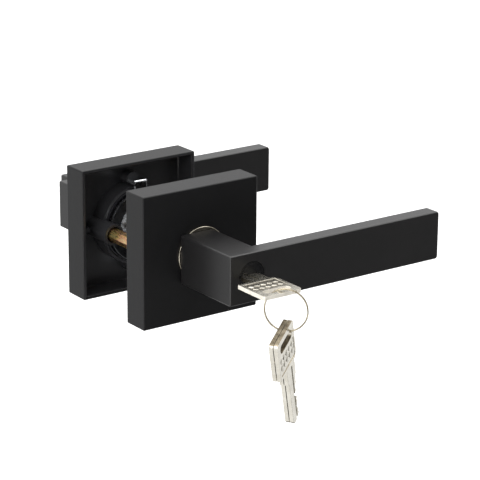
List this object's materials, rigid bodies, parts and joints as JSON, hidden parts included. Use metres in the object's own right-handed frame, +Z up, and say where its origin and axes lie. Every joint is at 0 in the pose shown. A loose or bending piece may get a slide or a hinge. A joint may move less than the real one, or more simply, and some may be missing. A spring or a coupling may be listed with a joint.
{
  "type": "keyed door lever set",
  "caption": "Matte black entry lever set with square roses: sprung levers on a half-round spindle through the door, key lock, thumb-turn, fixings, key ring and spare keys.",
  "frame": {"origin": "on the spindle axis, half way between the two roses' door faces", "axes": "+X along both lever arms, +Y from the exterior side to the interior side along the spindle, +Z up"},
  "size_m": [0.1482, 0.204, 0.0995],
  "materials": {
    "rose_black": "matte powder coat",
    "lever_black": "matte powder coat",
    "lock_black": "satin black",
    "housing_black": "satin black",
    "collar_chrome": "polished",
    "plate_chrome": "polished",
    "spring_steel": "drawn wire",
    "screw_steel": "blackened",
    "zinc_steel": "zinc plated",
    "washer_nylon": "matte",
    "standoff_brass": "yellow chromate",
    "pin_brass": "machined",
    "key_nickel": "nickel plated",
    "ring_steel": "nickel plated"
  },
  "bodies": {
    "door_trim": {"exterior_rose": "rose_black", "interior_rose": "rose_black", "exterior_collar": "collar_chrome", "interior_collar": "collar_chrome", "exterior_spring_housing": "housing_black", "interior_spring_housing": "housing_black", "exterior_return_spring": "spring_steel", "interior_return_spring": "spring_steel", "exterior_retaining_plate": "plate_chrome", "interior_retaining_plate": "plate_chrome", "exterior_thrust_washer": "washer_nylon", "interior_thrust_washer": "washer_nylon", "hex_standoffs": "standoff_brass", "mounting_screws": "screw_steel"},
    "exterior_lever": {"exterior_lever": "lever_black", "exterior_shank": "zinc_steel", "exterior_grub_screw": "screw_steel", "exterior_retaining_ring": "spring_steel", "exterior_spring_cam": "zinc_steel", "exterior_drive_hub": "zinc_steel", "spindle": "zinc_steel", "cylinder_body": "lock_black", "pin_chamber_cap": "pin_brass", "driver_pins": "pin_brass", "pin_springs": "spring_steel"},
    "interior_lever": {"interior_lever": "lever_black", "interior_shank": "zinc_steel", "interior_grub_screw": "screw_steel", "interior_retaining_ring": "spring_steel", "interior_spring_cam": "zinc_steel", "interior_drive_hub": "zinc_steel"},
    "lock_plug": {"lock_plug": "lock_black", "key_pins": "pin_brass", "plug_clip": "spring_steel", "lock_tailpiece": "zinc_steel"},
    "key": {"key": "key_nickel"},
    "key_ring": {"key_ring": "ring_steel"},
    "spare_key_front": {"spare_key_front": "key_nickel"},
    "spare_key_back": {"spare_key_back": "key_nickel"},
    "thumb_turn": {"thumb_turn": "lever_black", "thumb_turn_shaft": "zinc_steel", "thumb_turn_washer": "washer_nylon", "thumb_turn_clip": "spring_steel"}
  },
  "joints": [
    {"name": "exterior_lever_turn", "type": "hinge", "parent": "door_trim", "child": "exterior_lever", "pos_m": [0, 0, 0], "axis": [0, 1, 0], "range_deg": [-45, 45], "stiffness_Nm_per_rad": 1.6, "springref_deg": -3.78, "deforming": ["exterior_return_spring"]},
    {"name": "interior_lever_turn", "type": "hinge", "parent": "door_trim", "child": "interior_lever", "pos_m": [0, 0, 0], "axis": [0, 1, 0], "range_deg": [-45, 45], "stiffness_Nm_per_rad": 1.6, "springref_deg": -3.78, "deforming": ["interior_return_spring"]},
    {"name": "key_turn", "type": "hinge", "parent": "exterior_lever", "child": "lock_plug", "pos_m": [0, -0.06, 0], "axis": [0, 1, 0], "range_deg": [0, 90]},
    {"name": "thumb_turn_turn", "type": "hinge", "parent": "interior_lever", "child": "thumb_turn", "pos_m": [0, 0.08, 0], "axis": [0, 1, 0], "range_deg": [0, 90]},
    {"name": "key_slide", "type": "slide", "parent": "lock_plug", "child": "key", "axis": [0, -1, 0], "range_m": [0, 0.03]},
    {"name": "key_ring_swing", "type": "hinge", "parent": "key", "child": "key_ring", "pos_m": [-0.0016, -0.1036, 0], "axis": [0.6561, -0.7547, 0], "range_deg": [-25, 20]},
    {"name": "spare_key_front_swing", "type": "hinge", "parent": "key_ring", "child": "spare_key_front", "pos_m": [-0.0016, -0.1036, -0.01817], "axis": [-0.5446, 0.8387, 0], "range_deg": [-30, 30]},
    {"name": "spare_key_back_swing", "type": "hinge", "parent": "key_ring", "child": "spare_key_back", "pos_m": [-0.0016, -0.1036, -0.01817], "axis": [-0.5446, 0.8387, 0], "range_deg": [-30, 30]}
  ],
  "couplings": [
    {"joint": "interior_lever_turn", "follows": "exterior_lever_turn", "ratio": 1},
    {"joint": "thumb_turn_turn", "follows": "key_turn", "ratio": 1}
  ]
}
